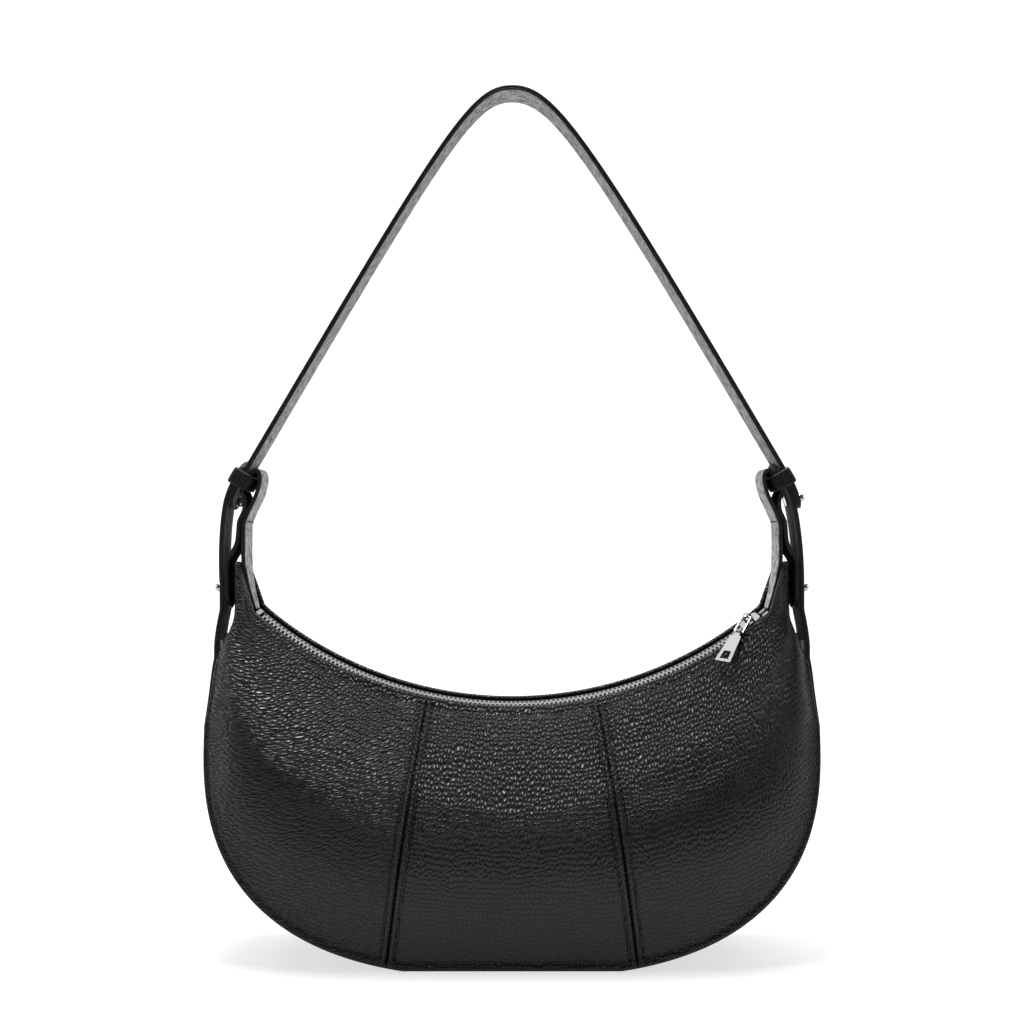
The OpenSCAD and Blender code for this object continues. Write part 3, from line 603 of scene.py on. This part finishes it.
def gusset_place(t, w):
    """t runs from the left horn, -1, over the base to the right horn, 1; w across, -1 to 1."""
    x, z = place_on(outline, outline_run, abs(t) * outline_len)
    ahead = place_on(outline, outline_run, min(abs(t) * outline_len + 1.5, outline_len))
    behind = place_on(outline, outline_run, max(abs(t) * outline_len - 1.5, 0))
    dx, dz = ahead[0] - behind[0], ahead[1] - behind[1]
    size = sqrt(dx * dx + dz * dz)
    g = -1 if t < 0 else 1
    out = Vector((g * dz / size, 0, -dx / size if abs(t) > 0.004 else -1.0))
    half = half_depth(z)
    return Vector((g * x, w * half, max(z, 0))), out, half


outer, inner = [], []
for k in range(gusset_steps + 1):
    row, under = [], []
    for w in gusset_across:
        p, out, half = gusset_place(-1 + 2 * k / gusset_steps, w)
        edge = (1 - abs(w)) * half
        q = p + out * (-0.45 * bell(edge, 0.9) - 0.25 * bell(edge - gusset_crease_in, 0.9))
        r = p - out * hide_t
        q.z, r.z = max(q.z, 0), max(r.z, 0.25)
        row.append(q)
        under.append(r)
    outer.append(row)
    inner.append(under)
piece = shell("gusset_hide", outer, inner, body_hide)
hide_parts("gusset")

rows = []
for w in (-1, 1):
    row = []
    for k in range(gusset_steps + 1):
        p, out, half = gusset_place(-row_end + 2 * row_end * k / gusset_steps, 0)
        if p.z >= under_base:
            p.y = w * (half - gusset_stitch_in)
            row.append((p, out))
    rows += [[r for r in row if r[0].x < 0], [r for r in row if r[0].x > 0]]
stitches("gusset_stitches", rows, "bag")

# Lining: a plain woven cotton that hangs inside the leather, with a slip pocket on its
# back sheet, and a thin pressed board that keeps the base flat.
lining_t, lining_in, ripple, hang_gap = 0.6, hide_t + 4 * gap, 0.22, 0.25
lining_end, lining_steps = 0.8, 160
pocket_h, mouth_z, pocket_side, pocket_low = 62.0, 119.0, 0.2, 0.82
sheet_side, sheet_top, sheet_low = 0.9, 0.14, 0.9


def lining_weave():
    weave = Finish("lining_weave")
    crossed = weave.math("MULTIPLY", weave.wave(420.0, 0.4, bands="X"),
                         weave.wave(420.0, 0.4, bands="Z"))
    weave.bump(crossed, 0.00015)
    return weave.surface({"Roughness": 0.85, "Sheen Weight": 0.2}, {
        "Base Color": weave.mix(crossed, (0.030, 0.030, 0.034), (0.075, 0.075, 0.082))})


cloth = lining_weave()


def hung_sheet(name, node, side, v0, v1, depth, f, across=56, down=40):
    outer, inner = [], []
    for i in range(across + 1):
        u = -side + 2 * side * i / across
        row, under = [], []
        for j in range(down + 1):
            v = v0 + (v1 - v0) * j / down
            fold = ripple * sin(23 * u + 5 * v) * sin(pi * j / down) * sin(pi * i / across)
            for into, d in ((row, depth), (under, depth + lining_t)):
                q = skin(u, v, f) - skin_out(u, v, f) * (d + fold + hang_gap)
                q.z = max(q.z, d)
                into.append(q)
        outer.append(row)
        inner.append(under)
    piece = shell(name, outer, inner, cloth)
    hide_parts(node)


hung_sheet("front_lining_cloth", "lining_front", sheet_side, sheet_top, sheet_low,
           lining_in, 1)
hung_sheet("back_lining_cloth", "lining_back", sheet_side, sheet_top, sheet_low,
           lining_in, -1)
hung_sheet("slip_pocket_cloth", "slip_pocket", pocket_side, pocket_low - pocket_h / mouth_z,
           pocket_low, lining_in + lining_t + 4 * gap, -1)

outer, inner = [], []
for k in range(lining_steps + 1):
    rows = [], []
    for w in (-1, -0.5, 0, 0.5, 1):
        p, out, half = gusset_place(-lining_end + 2 * lining_end * k / lining_steps, w)
        p.y = w * (half - hide_t)
        for row, d in zip(rows, (hide_t + lay, hide_t + lay + lining_t)):
            q = p - out * d
            q.z = max(q.z, d)
            row.append(q)
    if rows[0][2].z < wide_z:
        outer.append(rows[0])
        inner.append(rows[1])
piece = shell("gusset_lining_cloth", outer, inner, cloth)
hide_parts("lining_gusset")


def pressed_board():
    board = Finish("pressed_board")
    return board.surface({"Roughness": 0.9}, {
        "Base Color": board.mix(board.noise(350.0, 6.0), (0.22, 0.16, 0.10),
                                (0.42, 0.33, 0.23))})


def finish_node(name, material, edge=0):
    """Gives a node of the model its material, and softens its edges by edge mm."""
    part = nodes[name]
    part.data.materials.clear()
    part.data.materials.append(material)
    if edge:
        soften = part.modifiers.new("soft_edges", "BEVEL")
        soften.width = edge * mm
        soften.segments = 2
        soften.limit_method = "ANGLE"
        soften.angle_limit = radians(40)


finish_node("base_board", pressed_board())

# Zip tapes: black herringbone tape that lies flat beside the teeth, bends under the
# turned edge of the leather and is sewn to it. The inner edge is beaded for the teeth.
tape_gap, tape_flat, tape_drop, tape_steps = 2.1, 0.93 * lip_half, 1.25 * lip_half, 180


def at_mouth(a, q, h):
    """A place on the zip: a in degrees along it, q to the front, h out of the bag."""
    r, front = zip_section(q, h)
    return Vector((r * sin(radians(a)), -front, zip_c - r * cos(radians(a))))


def tape_weave():
    tape = Finish("zip_tape_weave")
    turned = tape.moved(tape.place(), {"Rotation": (radians(35), 0, radians(45))})
    twill = tape.wave(600.0, 0.6, turned)
    tape.bump(twill, 0.00012)
    return tape.surface({"Roughness": 0.8}, {
        "Base Color": tape.mix(twill, (0.006, 0.006, 0.007), (0.022, 0.022, 0.024))})


tape_cloth = tape_weave()
for f, face in ((1, "front"), (-1, "back")):
    fall = radians(78 - f * zip_tilt)
    c, s, top = tape_drop * cos(fall), tape_drop * sin(fall), tape_t / 2
    low, bent, inner_bent = top - tape_t, tape_flat + tape_t / 2, tape_flat - tape_t / 2
    above = [(tape_gap, top - 0.08), (tape_gap + 0.35, top), (tape_flat - 0.7, top),
             (tape_flat, top - 0.12), (bent + c * 0.4, top - tape_t * 0.4 - s * 0.4),
             (bent + c, low - s + tape_t * cos(fall))]
    below = [(tape_gap, low + 0.08), (tape_gap + 0.35, low), (tape_flat - 0.8, low),
             (inner_bent, low - 0.1), (inner_bent + c * 0.4, low - s * 0.4),
             (inner_bent + c, low - s)]
    steps = [-zip_half_angle + 2 * zip_half_angle * k / tape_steps for k in range(tape_steps + 1)]
    piece = shell(f"{face}_zip_tape_weave", *[[[at_mouth(a, f * q, h) for q, h in cut]
                                               for a in steps] for cut in (above, below)],
                  tape_cloth)
    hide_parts(f"zip_tape_{face}")

# Zip metal: nickel-plated teeth, stops, slider and link, and a satin pull plate, with
# softened edges. They keep the model's shapes.
tooth_edge, pull_edge = 0.12, 0.16


def bright_nickel(name, rough, tone):
    metal = Finish(name)
    rub = metal.noise(900.0, 4.0)
    return metal.surface({"Metallic": 1.0}, {
        "Roughness": metal.remap(rub, {"To Min": rough * 0.9, "To Max": rough * 1.15}),
        "Base Color": metal.mix(rub, (tone * 0.96, tone * 0.96, tone * 0.97),
                                (tone * 1.03,) * 3)})


zip_nickel = bright_nickel("zip_nickel", 0.25, 0.30)
polished = bright_nickel("polished_nickel", 0.08, 0.42)
for name in ("zip_teeth_front", "zip_teeth_back", "zip_bottom_stop", "zip_top_stops"):
    finish_node(name, zip_nickel, tooth_edge)
for name in ("zip_slider", "pull_link"):
    finish_node(name, polished, pull_edge)
finish_node("pull_plate", bright_nickel("satin_nickel", 0.50, 0.13), pull_edge)

# Shoulder strap: a long band of calf glued to a suede lining, its two ends cut to shallow
# tongues that are studded to the side straps under the keepers. Its edges are painted
# black, and a second stud hole is punched above the left keeper.
stud_z, stud_x, keeper_z = 177.0, horn_x + 3.7, 230.0
strap_skin, strap_suede_t, side_t, loop_t = 1.3, 1.1, 2.2, 2.0
strap_t = strap_skin + strap_suede_t
arch_z, leg_angle, run_gap = 419.0, 59.5, 0.1
leg_cos, leg_sin = cos(radians(leg_angle)), sin(radians(leg_angle))
rise = keeper_z - stud_z
hole_d, hole_above_keeper, punch_depth = 3.0, 1.15 * strap_w, 8
leg_reach, arch_round, arch_steps = 1.04, 0.15, 64


def painted_edge():
    paint = Finish("painted_edge")
    smear = paint.noise(700.0, 3.0)
    paint.bump(smear, 0.00008)
    return paint.surface({"Roughness": 0.5, "Specular IOR Level": 0.2}, {
        "Base Color": paint.mix(smear, (0.004,) * 3, (0.016, 0.016, 0.017))})


def suede(name, dark, light):
    """The brushed flesh side, mottled between two greys."""
    flesh = Finish(name)
    nap = flesh.noise(900.0, 5.0, 0.7)
    mottled = flesh.remap(flesh.math("MULTIPLY", nap, flesh.noise(330.0, 2.0)),
                          {"From Min": 0.14, "From Max": 0.36})
    flesh.bump(nap, 0.00018)
    return flesh.surface(
        {"Roughness": 0.92, "Specular IOR Level": 0.0, "Sheen Weight": 0.12},
        {"Base Color": flesh.mix(mottled, (dark, dark, dark * 1.01),
                                 (light, light, light * 1.01))})


strap_hide = pebbled_hide("fine_black_hide", 0.0011, 0.00012, 0.018, 0.12, shine=0.40)
matt_hide = pebbled_hide("matt_black_hide", 0.0011, 0.00012, 0.024, 0.0)
edge_paint = painted_edge()
grey_suede = suede("grey_suede", 0.055, 0.26)
pale_suede = suede("pale_suede", 0.07, 0.36)
dark_suede = suede("dark_suede", 0.020, 0.11)


def edge_section(half_w, t, groove, flat_steps=6, round_steps=10):
    """A strap's cut: flat faces and domed, grooved edges. Gives (y, h, kind) with kind
    0 on the outer face, 1 on an edge and 2 on the inner face; h is out of the loop."""
    r = min(0.45 * t, half_w)
    reach = half_w - r
    out = []
    for side, kind in ((1, 0), (-1, 2)):
        for j in range(flat_steps + 1):
            out.append((side * (2 * reach * j / flat_steps - reach), side * t / 2, kind))
        for k in range(1, round_steps):
            a = pi * k / round_steps
            y = reach + r * sin(a) - groove * bell(a - pi / 2, 0.42)
            out.append((side * y, side * t / 2 * cos(a), 1))
    return out


def along(line, i):
    """The unit direction of a line of (x, z) at its point i."""
    a, b = line[max(i - 1, 0)], line[min(i + 1, len(line) - 1)]
    size = sqrt((b[0] - a[0]) ** 2 + (b[1] - a[1]) ** 2)
    return (b[0] - a[0]) / size, (b[1] - a[1]) / size


def aside(line, d):
    out = []
    for i, p in enumerate(line):
        dx, dz = along(line, i)
        out.append((p[0] + d * dz, p[1] - d * dx))
    return out


def sweep(name, line, width_at, t, side, materials, groove):
    """A strap along a line of (x, z); the outer face looks to the right of its run."""
    mesh = bmesh.new()
    rings, runs = [], run_lengths(line)
    for i, (x, z) in enumerate(line):
        dx, dz = along(line, i)
        cut = edge_section(width_at(z, runs[i], runs[-1]), t, groove)
        rings.append([mesh.verts.new((side * (x + dz * h) * mm, y * mm, (z - dx * h) * mm))
                      for y, h, _ in cut])
    kinds = [kind for _, _, kind in cut]
    for ra, rb in zip(rings, rings[1:]):
        for j in range(len(kinds)):
            k = (j + 1) % len(kinds)
            face = mesh.faces.new((ra[j], ra[k], rb[k], rb[j]))
            face.material_index = kinds[j] if kinds[j] == kinds[k] else 1
    for ring in (rings[0], rings[-1]):
        mesh.faces.new(ring).material_index = 1
    bmesh.ops.recalc_face_normals(mesh, faces=mesh.faces)
    return smooth_piece(name, mesh, *materials)


def closer(line, step):
    """The same line with points about step millimetres apart."""
    runs = run_lengths(line)
    count = max(2, int(runs[-1] / step))
    return [place_on(line, runs, runs[-1] * k / count) for k in range(count + 1)]


def from_stud(s):
    return stud_x + s[0] * rise, stud_z + s[1] * rise


def bezier(points, shares):
    """Places on the cubic curve over four points."""
    out = []
    for t in shares:
        w = ((1 - t) ** 3, 3 * (1 - t) ** 2 * t, 3 * (1 - t) * t * t, t ** 3)
        out.append(tuple(sum(wi * p[i] for wi, p in zip(w, points)) for i in (0, 1)))
    return out


# The line that strap and side strap share, from the lower stud up through the keeper, in
# shares of the rise between them; overlap_from and upper_at count its points.
keeper_share, overlap_from, upper_at, hold_share = (-0.151, 1), 11, 16, 0.78
lap_line = smooth_curve([from_stud(s) for s in (
    (0, 0), (0.002, 0.17), (-0.006, 0.396), (-0.028, 0.623), (-0.062, 0.802), (-0.113, 0.936),
    keeper_share, (-0.189, 1.064), (-0.232, 1.138))], 4)
keeper_mid = from_stud(keeper_share)
tongue_z = lap_line[upper_at][1] - 0.25 * strap_w


def lap_of(side):
    """1 where the side strap lies outside the strap's end, -1 where it lies inside."""
    return 1 if side < 0 else -1


def half_strap(side):
    low = aside(lap_line, -lap_of(side) * (strap_t + run_gap) / 2)[overlap_from:]
    a, top = low[-1], (0.0, arch_z - strap_t / 2)
    h = leg_reach * (top[1] - a[1])
    b, c = (a[0] - h * leg_cos, a[1] + h * leg_sin), (top[0] + arch_round * a[0], top[1])
    return low + bezier((a, b, c, top), [k / arch_steps for k in range(1, arch_steps)])


def tongue(z, low, length):
    """Half the strap's width at z, where it rounds off over length down to low."""
    k = clamped((low + length - z) / length)
    return strap_w / 2 * sqrt(1 - min(k, 0.985) ** 2)


def strap_width(z, s, whole):
    return tongue(z, tongue_z, strap_w / 4)


strap_line = (half_strap(1) + [(0.0, arch_z - strap_t / 2)]
              + [(-x, z) for x, z in reversed(half_strap(-1))])
tip_trim = 0.08
body_line = [p for p in closer(strap_line, 1.0) if p[1] > tongue_z + tip_trim]
outer_band = sweep("strap_outer_band", aside(body_line, (strap_t - strap_skin) / 2),
                   strap_width, strap_skin, 1, (strap_hide, edge_paint, strap_hide), 0.0)
suede_band = sweep("strap_suede_band", aside(body_line, -(strap_t - strap_suede_t) / 2),
                   strap_width, strap_suede_t, 1, (grey_suede, edge_paint, grey_suede), 0.0)
hole_x = keeper_mid[0] - hole_above_keeper * leg_cos
hole_z = keeper_mid[1] + hole_above_keeper * leg_sin
bpy.ops.mesh.primitive_cylinder_add(
    vertices=32, radius=hole_d / 2 * mm, depth=punch_depth * mm,
    location=(-hole_x * mm, 0, hole_z * mm), rotation=(0, pi / 2 + atan2(leg_cos, leg_sin), 0))
punch = bpy.context.object
for band, node, slot in ((outer_band, "shoulder_strap", "strap_leather"),
                         (suede_band, "strap_lining", "suede")):
    cut = band.modifiers.new("punched_hole", "BOOLEAN")
    cut.object = punch
    cut.operation = "DIFFERENCE"
    bpy.context.view_layer.objects.active = band
    bpy.ops.object.modifier_apply(modifier=cut.name)
    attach(band, "strap")
    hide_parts(node)
bpy.data.objects.remove(punch)

# Side straps: on each side one thick strip of calf, sewn flat to the gusset, free below
# the lower stud and running up through the keeper.
side_end_z, side_top_z = 74.0, stud_z - strap_w / 2 - gap - 0.1
end_trim, top_taper, lap_share, side_groove, free_steps = 0.6, 5, 0.48, 0.32, 12


def side_line():
    """Along the gusset to where the lap ends, then free and a little bowed to the stud."""
    lap_top = wide_z + lap_share * (horn_z - wide_z) - lay - side_t
    lap = [p for p in aside(outline, lay + side_t / 2) if side_end_z <= p[1] <= lap_top]
    x, z = lap[-1]
    h = side_top_z - z
    return lap + bezier(((x, z + 0.05 * h), (x + 0.4, z + 0.4 * h), (stud_x + 1.3, z + 0.72 * h),
                         (stud_x, side_top_z)), [k / free_steps for k in range(free_steps + 1)])


def riser_line(side):
    """The upper part, which leaves the shared line to lie beside the strap's end."""
    d = lap_of(side) * (side_t + run_gap) / 2
    out = []
    for (x, z), (fx, fz) in zip(lap_line, aside(lap_line, d)):
        k = min(1, (z - stud_z) / (hold_share * rise))
        out.append((x * (1 - k) + fx * k, z * (1 - k) + fz * k))
    return out


def side_width(z, s, whole):
    if s < whole / 2:
        return tongue(z, side_end_z + end_trim, strap_w / 2)
    return tongue(whole - s, 0, top_taper)


for side, hand in ((-1, "left"), (1, "right")):
    line = closer(side_line() + riser_line(side), 1.2)
    piece = sweep(f"{hand}_side_leather", line, side_width, side_t, side,
                  (strap_hide, edge_paint, dark_suede), side_groove)
    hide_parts(f"{hand}_side_strap", f"{hand}_strap_riser")
    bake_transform(piece)

# Horn tabs: the facing rises from the zip's end inside the horn, goes over the top of the
# keeper's opening and comes down outside to the lower stud. Its flesh side, seen from
# the front, is pale, and a row of lock stitches joins its two legs at the waist.
loop_x0, loop_leave = stud_x - side_t / 2 - gap - loop_t / 2, 0.24
loop_line = [(loop_x0, stud_z - 0.499 * strap_w), (loop_x0, stud_z)] + smooth_curve(
    [(loop_x0, stud_z + loop_leave * rise / 2), (loop_x0 - lay, stud_z + loop_leave * rise)]
    + [from_stud(s) for s in (
        (-0.1, 0.33), (-0.138, 0.42), (-0.15, 0.54), (-0.158, 0.604), (-0.183, 0.66),
        (-0.204, 0.717), (-0.206, 0.802), (-0.176, 0.902), (-0.254, 1.022), (-0.277, 1.054),
        (-0.306, 1.07), (-0.334, 1.05), (-0.346, 1.004), (-0.34, 0.943), (-0.317, 0.858),
        (-0.281, 0.774), (-0.247, 0.708), (-0.228, 0.66), (-0.204, 0.604),
        (-0.195, 0.551))], 4)
facing_line = smooth_curve([from_stud(s) for s in (
    (-0.281, -0.2), (-0.262, -0.13), (-0.234, -0.02), (-0.208, 0.13), (-0.194, 0.28),
    (-0.196, 0.56))], 5)
tab_line = facing_line[:-1] + loop_line[::-1][1:]
zip_end_z = zip_c - zip_r * cos(radians(zip_half_angle))
waist_z, waist_x = 208.9, (stud_x - 0.206 * rise, stud_x - 0.153 * rise)
waist_half, waist_step, waist_steps, waist_out = 8.0, 0.4, 40, loop_t / 2 + 0.05
tab_groove = 0.3


def tab_width(z, s, whole):
    left = whole - s
    if left < strap_w / 2:
        return tongue(left, 0, strap_w / 2)
    if s > whole / 2:
        return strap_w / 2
    k = (z - zip_end_z) / (horn_z - zip_end_z)
    if k > 1:
        return min(strap_w / 2, lip_y(1) - hide_t - gap + (z - horn_z) / 3)
    return lip_y(mouth_share + (1 - mouth_share) * max(0, k)) - hide_t - gap


rows = []
for side, hand in ((-1, "left"), (1, "right")):
    piece = sweep(f"{hand}_horn_tab", closer(tab_line, 0.9), tab_width, loop_t, side,
                  (matt_hide, edge_paint, pale_suede), tab_groove)
    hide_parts(f"{hand}_horn_facing", f"{hand}_horn_loop")
    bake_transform(piece)
    for x, away in zip(waist_x, (-1, 1)):
        rows.append([(Vector((side * (x + away * waist_out), waist_step * k - waist_half, waist_z)),
                      Vector((side * away, 0, 0))) for k in range(waist_steps + 1)])
stitches("tab_waist_stitches", rows, "strap")

# Keepers: a band of the fine calf closed round the strap's end, the side strap and the
# tab, rounded over at its corners, with a creased line near each edge.
keeper_h, keeper_t, corner_r, corner_steps, keeper_steps = 8.0, 1.3, 0.9, 8, 12
keeper_out = max(strap_t, side_t) + gap
keeper_in = keeper_out + loop_t + 2 * gap
crease_in, turned_to_tab = 1.5, -0.3


def keeper_path():
    """Places round the keeper's inside, 1 mm apart or closer, and their way out."""
    half = strap_w / 2 + gap
    corners = ((keeper_out, half), (-keeper_in, half), (-keeper_in, -half), (keeper_out, -half))
    path = []
    for q, (cx, cy) in enumerate(corners):
        sx, sy = (1 if cx > 0 else -1), (1 if cy > 0 else -1)
        for k in range(corner_steps + 1):
            a = pi / 2 * (q + k / corner_steps)
            path.append((cx - sx * corner_r + corner_r * cos(a),
                         cy - sy * corner_r + corner_r * sin(a), cos(a), sin(a)))
    filled = []
    for a, b in zip(path, path[1:] + path[:1]):
        count = max(1, int(sqrt((b[0] - a[0]) ** 2 + (b[1] - a[1]) ** 2)))
        for k in range(count):
            filled.append(tuple(p + (q - p) * k / count for p, q in zip(a, b)))
    return filled


def keeper_ring(side, hand):
    cut = []
    for j in range(keeper_steps + 1):
        z = -keeper_h / 2 + keeper_h * j / keeper_steps
        edge = keeper_h / 2 - abs(z)
        cut.append((keeper_t - 0.5 * bell(edge, 0.45) - 0.16 * bell(edge - crease_in, 0.3), z))
    cut += [(0.0, keeper_h / 2 - 0.1), (0.0, -keeper_h / 2 + 0.1)]
    mesh = bmesh.new()
    # Painted shade: the faces turned to the tab take the matt copy of the hide, with no reflection,
    # so that side of the band stays dark as if in shade.
    rings, matt = [], []
    for x, y, ox, oy in keeper_path():
        matt.append(ox < turned_to_tab)
        ring = []
        for d, z in cut:
            px, py = x + ox * d, y + oy * d
            ring.append(mesh.verts.new((side * (keeper_mid[0] + leg_sin * px - leg_cos * z) * mm,
                                        py * mm,
                                        (keeper_mid[1] + leg_cos * px + leg_sin * z) * mm)))
        rings.append(ring)
    n = len(cut)
    painted = (0, keeper_steps - 1, keeper_steps, n - 1)
    for ra, rb, dull in zip(rings, rings[1:] + rings[:1], matt):
        for j in range(n):
            k = (j + 1) % n
            face = mesh.faces.new((ra[j], ra[k], rb[k], rb[j]))
            face.material_index = 1 if j in painted else 2 if dull else 0
    bmesh.ops.recalc_face_normals(mesh, faces=mesh.faces)
    piece = smooth_piece(f"{hand}_keeper_band", mesh, strap_hide, edge_paint, matt_hide)
    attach(piece, "strap")
    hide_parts(f"{hand}_keeper")


for side, hand in ((-1, "left"), (1, "right")):
    keeper_ring(side, hand)

# Studs: nickel ball studs on a screw, one through each strap end and one through each
# horn, so that the strap can be unbuttoned.
for hand in ("left", "right"):
    for place in ("upper", "lower"):
        finish_node(f"{hand}_{place}_stud", polished)
